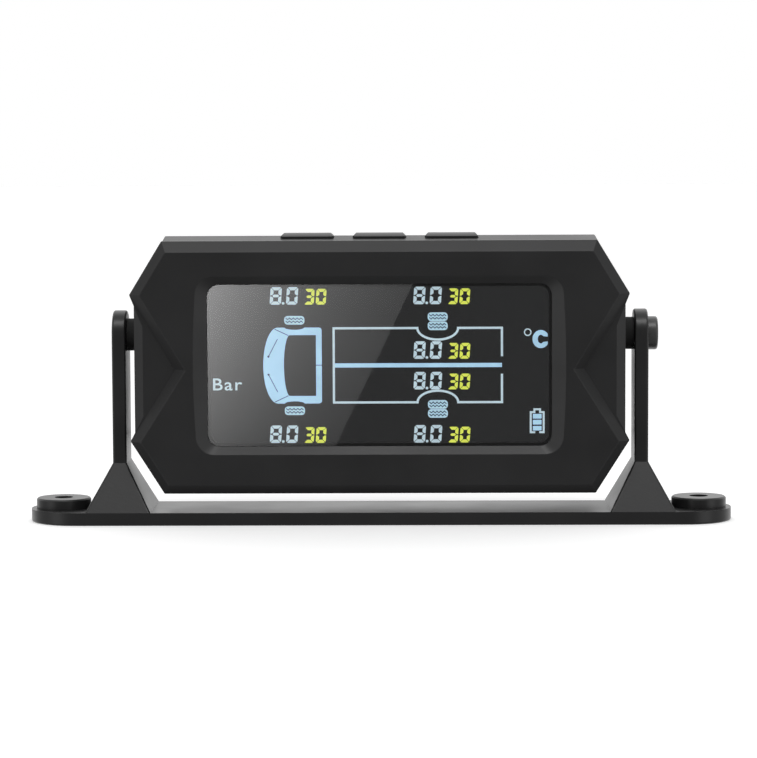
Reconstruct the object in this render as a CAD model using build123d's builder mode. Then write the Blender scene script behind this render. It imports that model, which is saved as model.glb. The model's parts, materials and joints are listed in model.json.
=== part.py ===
"""Tire pressure monitor: a display housing that tilts in a U-shaped mounting bracket.

Millimetres, +Z up, front towards -Y. The origin is the middle of the bracket's underside.
"""

import os

from build123d import *

os.makedirs("parts", exist_ok=True)

# ---- Driving dimensions ------------------------------------------------------

BASE_LENGTH = 196.0
BASE_DEPTH = 27.0
BASE_THICKNESS = 3.6
BOSS_SPACING = 178.0
BOSS_DIAMETER = 15.2
BOSS_HEIGHT = 2.9
BOSS_EDGE_CHAMFER = 0.4
BRACKET_EDGE_RADIUS = 0.6
MOUNT_HOLE_DIAMETER = 5.2

ARM_INNER_X = 70.55
ARM_THICKNESS = 3.85
ARM_DEPTH = 13.6
ARM_TOP_Z = 59.0
GUSSET_TOP_Z = 16.8
GUSSET_FOOT_INNER_X = 63.5
GUSSET_FOOT_OUTER_X = 81.6

HOUSING_Z = 43.55
HOUSING_TOP_Z = 78.6
HOUSING_BOTTOM_Z = 8.9
TOP_CORNER_X = 59.8
BOTTOM_CORNER_X = 59.5
POINT_X = 68.75
UPPER_POINT_Z = 20.35
LOWER_POINT_Z = -20.1
SIDE_X = 67.75
SIDE_TOP_Z = 17.9
SIDE_BOTTOM_Z = -18.2
VEE_APEX_X = 56.3
VEE_APEX_Z = -0.4

FRONT_Y = -15.5
PARTING_Y = -8.5
CREST_Y = 0.0
REAR_Y = 15.5
FACE_CHAMFER = 2.6
REAR_CHAMFER = 3.0
FACE_TOP_DROP = 0.4
CREST_RISE = 1.05
REAR_RISE = 0.2
HOUSING_EDGE_RADIUS = 0.4
RECESS_EDGE_RADIUS = 0.3
WALL = 2.2
CAVITY_FRONT_Y = -11.0
SHADOW_GAP = 0.35

SCREEN_Z = HOUSING_Z + 0.85
SCREEN_RECESS_WIDTH = 100.3
SCREEN_RECESS_HEIGHT = 49.0
SCREEN_RECESS_BOW = 1.05
SCREEN_RECESS_RADIUS = 5.0
SCREEN_RECESS_DEPTH = 1.8
LENS_WIDTH = 94.5
LENS_HEIGHT = 44.5
LENS_RADIUS = 3.3
LENS_THICKNESS = 1.5
TAPE_THICKNESS = 0.2
WINDOW_MARGIN = 0.65

PIVOT_Z = 52.2
PIVOT_RADIUS = 2.5
PIN_TIP_CHAMFER = 0.5
RUNNING_GAP = 0.05
SEAT_GAP = 0.02
SIDE_GAP = 0.1
SPACER_RADIUS = 4.5
INSERT_RADIUS = 3.5
INSERT_LENGTH = 7.0
HEAD_RADIUS = 4.65
HEAD_HEIGHT = 2.75
HEAD_EDGE_RADIUS = 0.7
HEX_HALF_WIDTH = 1.5
HEX_DEPTH = 1.6
WASHER_RADIUS = 4.2
WASHER_THICKNESS = 0.5

BUTTON_PITCH = 20.0
BUTTON_Y = -2.0
BUTTON_WIDTH = 14.5
BUTTON_DEPTH = 7.0
BUTTON_FRONT_HEIGHT = 0.15
BUTTON_REAR_HEIGHT = 0.5
BUTTON_CROWN_HEIGHT = 1.1
BUTTON_TRAVEL = 0.5
BUTTON_GAP = 0.2
BUTTON_CORNER_RADIUS = 0.6
BUTTON_END_SLOPE = 0.8

HOUSING_SCREW_X = 58.8
HOUSING_SCREW_RISE = 25.0
BOARD_SCREW_X = 52.6
BOARD_SCREW_RISE = 24.0
BOARD_WIDTH = 109.6
BOARD_THICKNESS = 1.6
BOARD_REAR_Y = -3.0
BOARD_BOTTOM_Z = 13.6
BOARD_TOP_Z = 73.0
BOARD_CORNER_RADIUS = 1.0

# ---- Derived positions -------------------------------------------------------

ARM_OUTER_X = ARM_INNER_X + ARM_THICKNESS
FLOOR_Y = FRONT_Y + FACE_CHAMFER
CAVITY_REAR_Y = REAR_Y - WALL
CAVITY_TOP_Z = HOUSING_TOP_Z - WALL
WINDOW_WIDTH = LENS_WIDTH - 2 * WINDOW_MARGIN
WINDOW_HEIGHT = LENS_HEIGHT - 2 * WINDOW_MARGIN
WINDOW_RADIUS = LENS_RADIUS - WINDOW_MARGIN
LENS_FRONT_Y = FRONT_Y + SCREEN_RECESS_DEPTH
LENS_REAR_Y = LENS_FRONT_Y + LENS_THICKNESS
LEDGE_Y = LENS_REAR_Y + TAPE_THICKNESS
BOARD_FRONT_Y = BOARD_REAR_Y - BOARD_THICKNESS
BUTTON_XS = {"left": -BUTTON_PITCH, "centre": 0.0, "right": BUTTON_PITCH}
BUTTON_POINTS = [(x, BUTTON_Y) for x in BUTTON_XS.values()]


def corner_points(reach_x, reach_z):
    """Four points of the front view, reach_x and reach_z from the housing's middle."""
    return [(x, HOUSING_Z + z) for x in (-reach_x, reach_x) for z in (-reach_z, reach_z)]


HOUSING_SCREW_POINTS = corner_points(HOUSING_SCREW_X, HOUSING_SCREW_RISE)
BOARD_SCREW_POINTS = corner_points(BOARD_SCREW_X, BOARD_SCREW_RISE)


def facing_front(y):
    """A sketch plane across the depth at y: local x is +X, local y is +Z, extrusions go towards -Y."""
    return Plane.XZ.offset(-y)


def facing_right(x):
    """A sketch plane across the width at x: local x is +Y, local y is +Z, extrusions go towards +X."""
    return Plane.YZ.offset(x)


def mirrored(right_points):
    """Close a left-right symmetric outline from its right half, listed from the top down."""
    return right_points + [(-x, z) for x, z in reversed(right_points)]


def housing_outline(rise=0.0):
    """The housing's outer outline, with its top edge raised by rise."""
    return mirrored([
        (TOP_CORNER_X, HOUSING_TOP_Z + rise),
        (POINT_X, HOUSING_Z + UPPER_POINT_Z),
        (SIDE_X, HOUSING_Z + SIDE_TOP_Z),
        (SIDE_X, HOUSING_Z + SIDE_BOTTOM_Z),
        (POINT_X, HOUSING_Z + LOWER_POINT_Z),
        (BOTTOM_CORNER_X, HOUSING_BOTTOM_Z),
    ])


def raised_face_outline(drop=0.0):
    """The raised front face's outline, with a V cut into each side and its top edge lowered by drop."""
    corner_slope = (POINT_X - TOP_CORNER_X) / (HOUSING_TOP_Z - HOUSING_Z - UPPER_POINT_Z)
    return mirrored([
        (TOP_CORNER_X + corner_slope * drop, HOUSING_TOP_Z - drop),
        (POINT_X, HOUSING_Z + UPPER_POINT_Z),
        (VEE_APEX_X, HOUSING_Z + VEE_APEX_Z),
        (POINT_X, HOUSING_Z + LOWER_POINT_Z),
        (BOTTOM_CORNER_X, HOUSING_BOTTOM_Z),
    ])


def outline_at(y, points, inset=0.0):
    """A closed outline at depth y, shrunk by inset with its corners kept sharp."""
    with BuildSketch(facing_front(y)) as outline:
        with BuildLine():
            Polyline(*points, close=True)
        make_face()
        if inset:
            offset(amount=-inset, kind=Kind.INTERSECTION)
    return outline.sketch


def slab(y_rear, y_front, points, inset=0.0, mode=Mode.ADD):
    """Extrude an outline from y_rear forward to y_front, into the part being built."""
    extrude(outline_at(y_rear, points, inset), amount=y_rear - y_front, mode=mode)


def sloped_slab(y_start, start_points, y_end, end_points, end_inset=0.0):
    """Join two outlines of the same corners with flat sloping sides, in the part being built."""
    loft([outline_at(y_start, start_points), outline_at(y_end, end_points, end_inset)], ruled=True)


def posts(y_rear, y_front, points, radius, mode=Mode.ADD):
    """Round posts, or holes, at points of the front view, in the part being built."""
    with BuildSketch(facing_front(y_rear)) as circles:
        with Locations(*points):
            Circle(radius)
    extrude(circles.sketch, amount=y_rear - y_front, mode=mode)


def driver_crosses(y_rear, points, reach, width, depth):
    """Cut a cross-shaped driver recess at each point of the front view."""
    with BuildSketch(facing_front(y_rear)) as crosses:
        with Locations(*points):
            Rectangle(2 * reach, width)
            Rectangle(width, 2 * reach)
    extrude(crosses.sketch, amount=depth, mode=Mode.SUBTRACT)


def tube(x_start, x_end, outer_radius, inner_radius):
    """A tube about the pivot axis, from x_start to x_end."""
    with BuildPart() as ring:
        with BuildSketch(facing_right(x_start)):
            with Locations((0, PIVOT_Z)):
                Circle(outer_radius)
                Circle(inner_radius, mode=Mode.SUBTRACT)
        extrude(amount=x_end - x_start)
    return ring


def finish(builder, label):
    """Label a finished piece and write its STEP file."""
    builder.part.label = label
    export_step(builder.part, f"parts/{label}.step")


# ---- Mounting bracket --------------------------------------------------------

with BuildPart() as bracket:
    with BuildSketch(Plane.XY):
        SlotOverall(BASE_LENGTH, BASE_DEPTH)
    extrude(amount=BASE_THICKNESS)
    for side in (-1, 1):
        arm_x = side * (ARM_INNER_X + ARM_THICKNESS / 2)
        foot_x = side * (GUSSET_FOOT_INNER_X + GUSSET_FOOT_OUTER_X) / 2
        with BuildSketch(Plane.XY.offset(BASE_THICKNESS)):
            with Locations((foot_x, 0)):
                Rectangle(GUSSET_FOOT_OUTER_X - GUSSET_FOOT_INNER_X, BASE_DEPTH)
        with BuildSketch(Plane.XY.offset(GUSSET_TOP_Z)):
            with Locations((arm_x, 0)):
                Rectangle(ARM_THICKNESS, ARM_DEPTH)
        loft(ruled=True)
        with BuildSketch(facing_right(arm_x - ARM_THICKNESS / 2)):
            with BuildLine():
                shoulder_z = ARM_TOP_Z - ARM_DEPTH / 2
                right_edge = Line((ARM_DEPTH / 2, GUSSET_TOP_Z), (ARM_DEPTH / 2, shoulder_z))
                RadiusArc(right_edge @ 1, (-ARM_DEPTH / 2, shoulder_z), -ARM_DEPTH / 2)
                Line((-ARM_DEPTH / 2, shoulder_z), (-ARM_DEPTH / 2, GUSSET_TOP_Z))
                Line((-ARM_DEPTH / 2, GUSSET_TOP_Z), right_edge @ 0)
            make_face()
        extrude(amount=ARM_THICKNESS)

    # Soft edges along the arms and gussets, and round the underside.
    inner_edges = edges().filter_by_position(Axis.X, -GUSSET_FOOT_OUTER_X, GUSSET_FOOT_OUTER_X)
    gusset_edges = inner_edges.filter_by_position(Axis.Z, BASE_THICKNESS, GUSSET_TOP_Z, (False, False))
    arm_edges = inner_edges.filter_by_position(Axis.Z, GUSSET_TOP_Z, ARM_TOP_Z, (False, True))
    upright_edges = (gusset_edges + arm_edges).filter_by(Axis.X, reverse=True)
    fillet(upright_edges + edges().group_by(Axis.Z)[0], radius=BRACKET_EDGE_RADIUS)

    # Bosses on the base, with screw holes through them.
    boss_top_z = BASE_THICKNESS + BOSS_HEIGHT
    with BuildSketch(Plane.XY.offset(BASE_THICKNESS)):
        with GridLocations(BOSS_SPACING, 0, 2, 1):
            Circle(BOSS_DIAMETER / 2)
    extrude(amount=BOSS_HEIGHT)
    boss_edges = edges().filter_by(GeomType.CIRCLE).filter_by_position(Axis.Z, boss_top_z, boss_top_z)
    chamfer(boss_edges, length=BOSS_EDGE_CHAMFER)
    with BuildSketch(Plane.XY):
        with GridLocations(BOSS_SPACING, 0, 2, 1):
            Circle(MOUNT_HOLE_DIAMETER / 2)
    extrude(amount=boss_top_z, mode=Mode.SUBTRACT)

    # Pivot holes: a snug one for the pin on the left, a running one for the clamp screw on the right.
    with BuildSketch(facing_right(-ARM_OUTER_X)):
        with Locations((0, PIVOT_Z)):
            Circle(PIVOT_RADIUS + SEAT_GAP)
    extrude(amount=ARM_THICKNESS, mode=Mode.SUBTRACT)
    with BuildSketch(facing_right(ARM_INNER_X)):
        with Locations((0, PIVOT_Z)):
            Circle(PIVOT_RADIUS + RUNNING_GAP)
    extrude(amount=ARM_THICKNESS, mode=Mode.SUBTRACT)
    with BuildSketch(facing_right(ARM_OUTER_X - WASHER_THICKNESS - SIDE_GAP)):
        with Locations((0, PIVOT_Z)):
            Circle(WASHER_RADIUS + SIDE_GAP)
    extrude(amount=WASHER_THICKNESS + SIDE_GAP, mode=Mode.SUBTRACT)
finish(bracket, "bracket")

# ---- Pivot hardware ----------------------------------------------------------

PIN_TIP_X = SIDE_X - INSERT_LENGTH + PIN_TIP_CHAMFER
with BuildPart() as pivot_pin:
    with BuildSketch(facing_right(-ARM_OUTER_X)):
        with Locations((0, PIVOT_Z)):
            Circle(PIVOT_RADIUS)
    extrude(amount=ARM_OUTER_X - PIN_TIP_X)
    chamfer(edges().group_by(Axis.X)[-1], length=PIN_TIP_CHAMFER)
finish(pivot_pin, "pivot_pin")

pivot_bush = tube(-SIDE_X, -SIDE_X + INSERT_LENGTH, INSERT_RADIUS, PIVOT_RADIUS + RUNNING_GAP)
finish(pivot_bush, "pivot_bush")

threaded_insert = tube(SIDE_X - INSERT_LENGTH, SIDE_X, INSERT_RADIUS, PIVOT_RADIUS + RUNNING_GAP)
finish(threaded_insert, "threaded_insert")

SPACER_END_X = ARM_INNER_X - SIDE_GAP
for side_name, x_start, x_end in (("left", -SPACER_END_X, -SIDE_X), ("right", SIDE_X, SPACER_END_X)):
    spacer = tube(x_start, x_end, SPACER_RADIUS, PIVOT_RADIUS + SIDE_GAP)
    finish(spacer, f"spacer_{side_name}")

HEAD_X = ARM_OUTER_X + SIDE_GAP
with BuildPart() as clamp_screw:
    with BuildSketch(facing_right(HEAD_X)):
        with Locations((0, PIVOT_Z)):
            Circle(HEAD_RADIUS)
    extrude(amount=HEAD_HEIGHT)
    fillet(edges().group_by(Axis.X)[-1], radius=HEAD_EDGE_RADIUS)
    with BuildSketch(facing_right(PIN_TIP_X)):
        with Locations((0, PIVOT_Z)):
            Circle(PIVOT_RADIUS)
    extrude(amount=HEAD_X - PIN_TIP_X)
    chamfer(edges().group_by(Axis.X)[0], length=PIN_TIP_CHAMFER)
    with BuildSketch(facing_right(HEAD_X + HEAD_HEIGHT)):
        with Locations((0, PIVOT_Z)):
            RegularPolygon(radius=HEX_HALF_WIDTH, side_count=6, major_radius=False)
    extrude(amount=-HEX_DEPTH, mode=Mode.SUBTRACT)
finish(clamp_screw, "clamp_screw")

washer_x = ARM_OUTER_X - WASHER_THICKNESS
clamp_washer = tube(washer_x, ARM_OUTER_X, WASHER_RADIUS, PIVOT_RADIUS + SIDE_GAP)
finish(clamp_washer, "clamp_washer")

# ---- Front bezel -------------------------------------------------------------

BOSS_TIP_Y = -2.0
HOUSING_BOSS_RADIUS = 3.2
HOUSING_SCREW_RADIUS = 1.5
HOUSING_SCREW_TIP_Y = -9.5
BOARD_BOSS_RADIUS = 2.2
BOARD_SCREW_RADIUS = 1.0
BOARD_SCREW_TIP_Y = -8.0
TIP_ROOM = 0.5
LENS_CLEARANCE = 0.1

with BuildPart() as front_bezel:
    slab(PARTING_Y, FLOOR_Y, housing_outline())
    sunken_edges = edges().filter_by(Axis.Z).group_by(Axis.Y)[0]
    chamfer(sunken_edges, length=FACE_CHAMFER)

    # Raised face with a sloped border all round.
    face_outline = raised_face_outline(FACE_TOP_DROP)
    sloped_slab(FLOOR_Y, raised_face_outline(), FRONT_Y, face_outline, FACE_CHAMFER)

    # Soft edges round the face, down its corners and down the outside.
    face_edges = edges().filter_by_position(Axis.Y, FRONT_Y, FLOOR_Y, (True, False))
    rim_edges = edges().filter_by_position(Axis.Y, FLOOR_Y, FLOOR_Y).filter_by(
        lambda edge: abs(edge.center().Z - HOUSING_Z) > UPPER_POINT_Z
    )
    outside_edges = edges().filter_by(Axis.Y).group_by(SortBy.LENGTH)[-1]
    fillet(face_edges + rim_edges + outside_edges, radius=HOUSING_EDGE_RADIUS)

    # Cavity behind the face, with bosses for the rear screws and for the board.
    slab(PARTING_Y, CAVITY_FRONT_Y, housing_outline(), WALL, Mode.SUBTRACT)
    posts(BOSS_TIP_Y, CAVITY_FRONT_Y, HOUSING_SCREW_POINTS, HOUSING_BOSS_RADIUS)
    posts(BOARD_FRONT_Y, CAVITY_FRONT_Y, BOARD_SCREW_POINTS, BOARD_BOSS_RADIUS)
    pilot_radius = HOUSING_SCREW_RADIUS + SEAT_GAP
    pilot_end_y = HOUSING_SCREW_TIP_Y - TIP_ROOM
    posts(BOSS_TIP_Y, pilot_end_y, HOUSING_SCREW_POINTS, pilot_radius, Mode.SUBTRACT)
    pilot_radius = BOARD_SCREW_RADIUS + SEAT_GAP
    pilot_end_y = BOARD_SCREW_TIP_Y - TIP_ROOM
    posts(BOARD_FRONT_Y, pilot_end_y, BOARD_SCREW_POINTS, pilot_radius, Mode.SUBTRACT)

    # Sloped screen frame, whose outer sides bow outwards.
    with BuildSketch(facing_front(FRONT_Y)):
        half_width = SCREEN_RECESS_WIDTH / 2
        top_z = SCREEN_Z + SCREEN_RECESS_HEIGHT / 2
        bottom_z = SCREEN_Z - SCREEN_RECESS_HEIGHT / 2
        with BuildLine():
            Line((-half_width, top_z), (half_width, top_z))
            ThreePointArc(
                (half_width, top_z), (half_width + SCREEN_RECESS_BOW, SCREEN_Z), (half_width, bottom_z)
            )
            Line((half_width, bottom_z), (-half_width, bottom_z))
            ThreePointArc(
                (-half_width, bottom_z), (-half_width - SCREEN_RECESS_BOW, SCREEN_Z), (-half_width, top_z)
            )
        make_face()
        fillet(vertices(), radius=SCREEN_RECESS_RADIUS)
    with BuildSketch(facing_front(LENS_FRONT_Y)):
        with Locations((0, SCREEN_Z)):
            RectangleRounded(
                LENS_WIDTH + 2 * LENS_CLEARANCE, LENS_HEIGHT + 2 * LENS_CLEARANCE, LENS_RADIUS
            )
    loft(ruled=True, mode=Mode.SUBTRACT)
    reach = half_width + SCREEN_RECESS_BOW
    recess_edges = edges().group_by(Axis.Y)[0].filter_by_position(Axis.X, -reach, reach)
    fillet(recess_edges.filter_by_position(Axis.Z, bottom_z, top_z), radius=RECESS_EDGE_RADIUS)

    # Pocket for the lens, and the window behind it.
    with BuildSketch(facing_front(LEDGE_Y)):
        with Locations((0, SCREEN_Z)):
            RectangleRounded(
                LENS_WIDTH + 2 * LENS_CLEARANCE, LENS_HEIGHT + 2 * LENS_CLEARANCE, LENS_RADIUS
            )
    extrude(amount=LEDGE_Y - LENS_FRONT_Y, mode=Mode.SUBTRACT)
    with BuildSketch(facing_front(CAVITY_FRONT_Y)):
        with Locations((0, SCREEN_Z)):
            RectangleRounded(WINDOW_WIDTH, WINDOW_HEIGHT, WINDOW_RADIUS)
    extrude(amount=CAVITY_FRONT_Y - LEDGE_Y, mode=Mode.SUBTRACT)
finish(front_bezel, "front_bezel")

# ---- Rear cover --------------------------------------------------------------

REAR_CHAMFER_Y = REAR_Y - REAR_CHAMFER
STEP_Y = PARTING_Y + SHADOW_GAP
PILLAR_RADIUS = 4.0
HEAD_SEAT_Y = 0.5
HOUSING_HEAD_RADIUS = 2.8
HOUSING_HEAD_HEIGHT = 2.0
SCREW_CLEARANCE = 0.2
PIVOT_BOSS_RADIUS = 5.2
PIVOT_BOSS_END_WALL = 2.0
PIVOT_BOSS_X = SIDE_X - INSERT_LENGTH - PIVOT_BOSS_END_WALL
SOCKET_WIDTH = 8.9
SOCKET_HEIGHT = 3.2
SOCKET_Y = BOARD_REAR_Y + SOCKET_HEIGHT / 2
SOCKET_MOUTH_Z = HOUSING_BOTTOM_Z + 0.8
SOCKET_OPENING_GAP = 0.4
BUZZER_X = 38.0
BUZZER_Z = 60.0
SOUND_HOLE_RADIUS = 0.8
SOUND_RING_RADIUS = 3.2
SOUND_RING_HOLES = 6
LABEL_PANEL_Z = HOUSING_Z - 8.0
LABEL_PANEL_WIDTH = 64.0
LABEL_PANEL_HEIGHT = 30.0
LABEL_PANEL_RADIUS = 2.0
LABEL_PANEL_DEPTH = 0.4

with BuildPart() as rear_cover:
    slab(STEP_Y, PARTING_Y, housing_outline(), SHADOW_GAP)
    crest_outline = housing_outline(CREST_RISE)
    rear_outline = housing_outline(REAR_RISE)
    sloped_slab(STEP_Y, housing_outline(), CREST_Y, crest_outline)
    sloped_slab(CREST_Y, crest_outline, REAR_CHAMFER_Y, rear_outline)
    sloped_slab(REAR_CHAMFER_Y, rear_outline, REAR_Y, rear_outline, REAR_CHAMFER)
    back_edges = edges().filter_by_position(Axis.Y, STEP_Y, REAR_Y, (False, True))
    fillet(back_edges, radius=HOUSING_EDGE_RADIUS)
    slab(CAVITY_REAR_Y, PARTING_Y, housing_outline(), WALL, Mode.SUBTRACT)

    # Screw pillars and the pivot bosses inside.
    posts(CAVITY_REAR_Y, BOSS_TIP_Y, HOUSING_SCREW_POINTS, PILLAR_RADIUS)
    for side in (-1, 1):
        with BuildSketch(facing_right(side * SIDE_X)):
            with Locations((0, PIVOT_Z)):
                Circle(PIVOT_BOSS_RADIUS)
        extrude(amount=-side * (SIDE_X - PIVOT_BOSS_X))
        with BuildSketch(facing_right(side * SIDE_X)):
            with Locations((0, PIVOT_Z)):
                Circle(INSERT_RADIUS + SEAT_GAP)
        extrude(amount=-side * INSERT_LENGTH, mode=Mode.SUBTRACT)

    # Counterbored screw holes from behind.
    counterbore_radius = HOUSING_HEAD_RADIUS + SCREW_CLEARANCE
    posts(REAR_Y, HEAD_SEAT_Y, HOUSING_SCREW_POINTS, counterbore_radius, Mode.SUBTRACT)
    hole_radius = HOUSING_SCREW_RADIUS + SCREW_CLEARANCE
    posts(HEAD_SEAT_Y, BOSS_TIP_Y, HOUSING_SCREW_POINTS, hole_radius, Mode.SUBTRACT)

    # Three slots in the top for the buttons, and the charging opening below.
    with BuildSketch(Plane.XY.offset(CAVITY_TOP_Z)):
        with Locations(*BUTTON_POINTS):
            RectangleRounded(
                BUTTON_WIDTH + 2 * BUTTON_GAP,
                BUTTON_DEPTH + 2 * BUTTON_GAP,
                BUTTON_CORNER_RADIUS + BUTTON_GAP,
            )
    extrude(amount=WALL + CREST_RISE, mode=Mode.SUBTRACT)
    with BuildSketch(Plane.XY.offset(HOUSING_BOTTOM_Z)):
        with Locations((0, SOCKET_Y)):
            SlotOverall(
                SOCKET_WIDTH + 2 * SOCKET_OPENING_GAP, SOCKET_HEIGHT + 2 * SOCKET_OPENING_GAP
            )
    extrude(amount=WALL, mode=Mode.SUBTRACT)

    # Sound holes over the buzzer, and a shallow plain panel for a label.
    with BuildSketch(facing_front(REAR_Y)):
        with Locations((BUZZER_X, BUZZER_Z)):
            Circle(SOUND_HOLE_RADIUS)
            with PolarLocations(SOUND_RING_RADIUS, SOUND_RING_HOLES):
                Circle(SOUND_HOLE_RADIUS)
    extrude(amount=WALL, mode=Mode.SUBTRACT)
    with BuildSketch(facing_front(REAR_Y)):
        with Locations((0, LABEL_PANEL_Z)):
            RectangleRounded(LABEL_PANEL_WIDTH, LABEL_PANEL_HEIGHT, LABEL_PANEL_RADIUS)
    extrude(amount=LABEL_PANEL_DEPTH, mode=Mode.SUBTRACT)
finish(rear_cover, "rear_cover")

# ---- Screen stack ------------------------------------------------------------

GLASS_WIDTH = 97.0
GLASS_HEIGHT = 46.6
GLASS_FRONT_Y = CAVITY_FRONT_Y + SIDE_GAP
GLASS_THICKNESS = 2.6
GLASS_REAR_Y = GLASS_FRONT_Y + GLASS_THICKNESS
HOLDER_WALL = 1.5
GUIDE_WIDTH = 92.0
GUIDE_HEIGHT = 42.0
GUIDE_THICKNESS = 3.0
GUIDE_REAR_Y = GLASS_REAR_Y + GUIDE_THICKNESS
REFLECTOR_THICKNESS = 0.3
LED_WIDTH = 1.4
LED_HEIGHT = 3.2
LED_DEPTH = 2.8
LED_SPACING = 20.0
STRIP_LENGTH = 80.0
STRIP_HEIGHT = 1.6
EDGE_OFFSET = 1.2


def screen_block(y_rear, thickness, width, height, corner_radius=0.0):
    """A block centred behind the screen, whose rear face is at y_rear."""
    with BuildPart() as block:
        with BuildSketch(facing_front(y_rear)):
            with Locations((0, SCREEN_Z)):
                if corner_radius:
                    RectangleRounded(width, height, corner_radius)
                else:
                    Rectangle(width, height)
        extrude(amount=thickness)
    return block


screen_lens = screen_block(LENS_REAR_Y, LENS_THICKNESS, LENS_WIDTH, LENS_HEIGHT, LENS_RADIUS)
finish(screen_lens, "screen_lens")

with BuildPart() as lens_tape:
    with BuildSketch(facing_front(LEDGE_Y)):
        with Locations((0, SCREEN_Z)):
            RectangleRounded(LENS_WIDTH, LENS_HEIGHT, LENS_RADIUS)
            RectangleRounded(WINDOW_WIDTH, WINDOW_HEIGHT, WINDOW_RADIUS, mode=Mode.SUBTRACT)
    extrude(amount=TAPE_THICKNESS)
finish(lens_tape, "lens_tape")

lcd_panel = screen_block(GLASS_REAR_Y, GLASS_THICKNESS, GLASS_WIDTH, GLASS_HEIGHT)
finish(lcd_panel, "lcd_panel")

with BuildPart() as lcd_holder:
    opening_width = GLASS_WIDTH + 2 * SIDE_GAP
    opening_height = GLASS_HEIGHT + 2 * SIDE_GAP
    with BuildSketch(facing_front(BOARD_FRONT_Y)):
        with Locations((0, SCREEN_Z)):
            Rectangle(opening_width + 2 * HOLDER_WALL, opening_height + 2 * HOLDER_WALL)
            Rectangle(opening_width, opening_height, mode=Mode.SUBTRACT)
    extrude(amount=BOARD_FRONT_Y - GLASS_FRONT_Y)
finish(lcd_holder, "lcd_holder")

light_guide = screen_block(GUIDE_REAR_Y, GUIDE_THICKNESS, GUIDE_WIDTH, GUIDE_HEIGHT)
finish(light_guide, "light_guide")

reflector_sheet = screen_block(
    GUIDE_REAR_Y + REFLECTOR_THICKNESS, REFLECTOR_THICKNESS, GUIDE_WIDTH, GUIDE_HEIGHT
)
finish(reflector_sheet, "reflector_sheet")

with BuildPart() as backlight_leds:
    with BuildSketch(facing_front(BOARD_FRONT_Y)):
        with Locations((0, SCREEN_Z)):
            with GridLocations(GUIDE_WIDTH + 2 * EDGE_OFFSET, LED_SPACING, 2, 2):
                Rectangle(LED_WIDTH, LED_HEIGHT)
    extrude(amount=LED_DEPTH)
finish(backlight_leds, "backlight_leds")

with BuildPart() as connector_strips:
    with BuildSketch(facing_front(BOARD_FRONT_Y)):
        with Locations((0, SCREEN_Z)):
            with GridLocations(0, GUIDE_HEIGHT + 2 * EDGE_OFFSET, 1, 2):
                Rectangle(STRIP_LENGTH, STRIP_HEIGHT)
    extrude(amount=BOARD_FRONT_Y - GLASS_REAR_Y)
finish(connector_strips, "connector_strips")

# ---- Circuit board and what is on it -----------------------------------------

with BuildPart() as main_board:
    with BuildSketch(facing_front(BOARD_REAR_Y)):
        with Locations((0, (BOARD_BOTTOM_Z + BOARD_TOP_Z) / 2)):
            RectangleRounded(BOARD_WIDTH, BOARD_TOP_Z - BOARD_BOTTOM_Z, BOARD_CORNER_RADIUS)
        with Locations(*BOARD_SCREW_POINTS):
            Circle(BOARD_SCREW_RADIUS + SIDE_GAP, mode=Mode.SUBTRACT)
    extrude(amount=BOARD_THICKNESS)
finish(main_board, "main_board")


def board_block(x, z, width, height, thickness):
    """A plain component that stands on the board's rear face."""
    with BuildPart() as block:
        with BuildSketch(facing_front(BOARD_REAR_Y + thickness)):
            with Locations((x, z)):
                Rectangle(width, height)
        extrude(amount=thickness)
    return block


CHIP_X = 8.0
CHIP_Z = 61.0
CHIP_SIZE = 10.0
CHIP_THICKNESS = 1.4
controller_chip = board_block(CHIP_X, CHIP_Z, CHIP_SIZE, CHIP_SIZE, CHIP_THICKNESS)
finish(controller_chip, "controller_chip")

RECEIVER_X = -38.0
RECEIVER_Z = 54.0
RECEIVER_WIDTH = 18.0
RECEIVER_HEIGHT = 13.0
RECEIVER_THICKNESS = 2.4
RECEIVER_CORNER_RADIUS = 0.6
RECEIVER_EDGE_RADIUS = 0.3
with BuildPart() as receiver_can:
    with BuildSketch(facing_front(BOARD_REAR_Y + RECEIVER_THICKNESS)):
        with Locations((RECEIVER_X, RECEIVER_Z)):
            RectangleRounded(RECEIVER_WIDTH, RECEIVER_HEIGHT, RECEIVER_CORNER_RADIUS)
    extrude(amount=RECEIVER_THICKNESS)
    fillet(faces().sort_by(Axis.Y)[-1].edges(), radius=RECEIVER_EDGE_RADIUS)
finish(receiver_can, "receiver_can")

ANTENNA_RADIUS = 2.5
WIRE_RADIUS = 0.4
ANTENNA_LENGTH = 16.0
ANTENNA_PITCH = 2.0
ANTENNA_START_X = -48.0
ANTENNA_Y = BOARD_REAR_Y + ANTENNA_RADIUS + WIRE_RADIUS
ANTENNA_Z = 66.0
with BuildPart() as antenna_coil:
    with BuildLine() as coil_path:
        Helix(
            pitch=ANTENNA_PITCH,
            height=ANTENNA_LENGTH,
            radius=ANTENNA_RADIUS,
            center=(ANTENNA_START_X, ANTENNA_Y, ANTENNA_Z),
            direction=(1, 0, 0),
        )
    with BuildSketch(Plane(origin=coil_path.line @ 0, z_dir=coil_path.line % 0)):
        Circle(WIRE_RADIUS)
    sweep(path=coil_path.line, is_frenet=True)
finish(antenna_coil, "antenna_coil")

BUZZER_RADIUS = 6.0
BUZZER_HEIGHT = 8.5
BUZZER_HOLE_RADIUS = 1.2
BUZZER_HOLE_DEPTH = 2.0
BUZZER_REAR_Y = BOARD_REAR_Y + BUZZER_HEIGHT
with BuildPart() as buzzer:
    posts(BUZZER_REAR_Y, BOARD_REAR_Y, [(BUZZER_X, BUZZER_Z)], BUZZER_RADIUS)
    hole_end_y = BUZZER_REAR_Y - BUZZER_HOLE_DEPTH
    posts(BUZZER_REAR_Y, hole_end_y, [(BUZZER_X, BUZZER_Z)], BUZZER_HOLE_RADIUS, Mode.SUBTRACT)
finish(buzzer, "buzzer")

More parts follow.
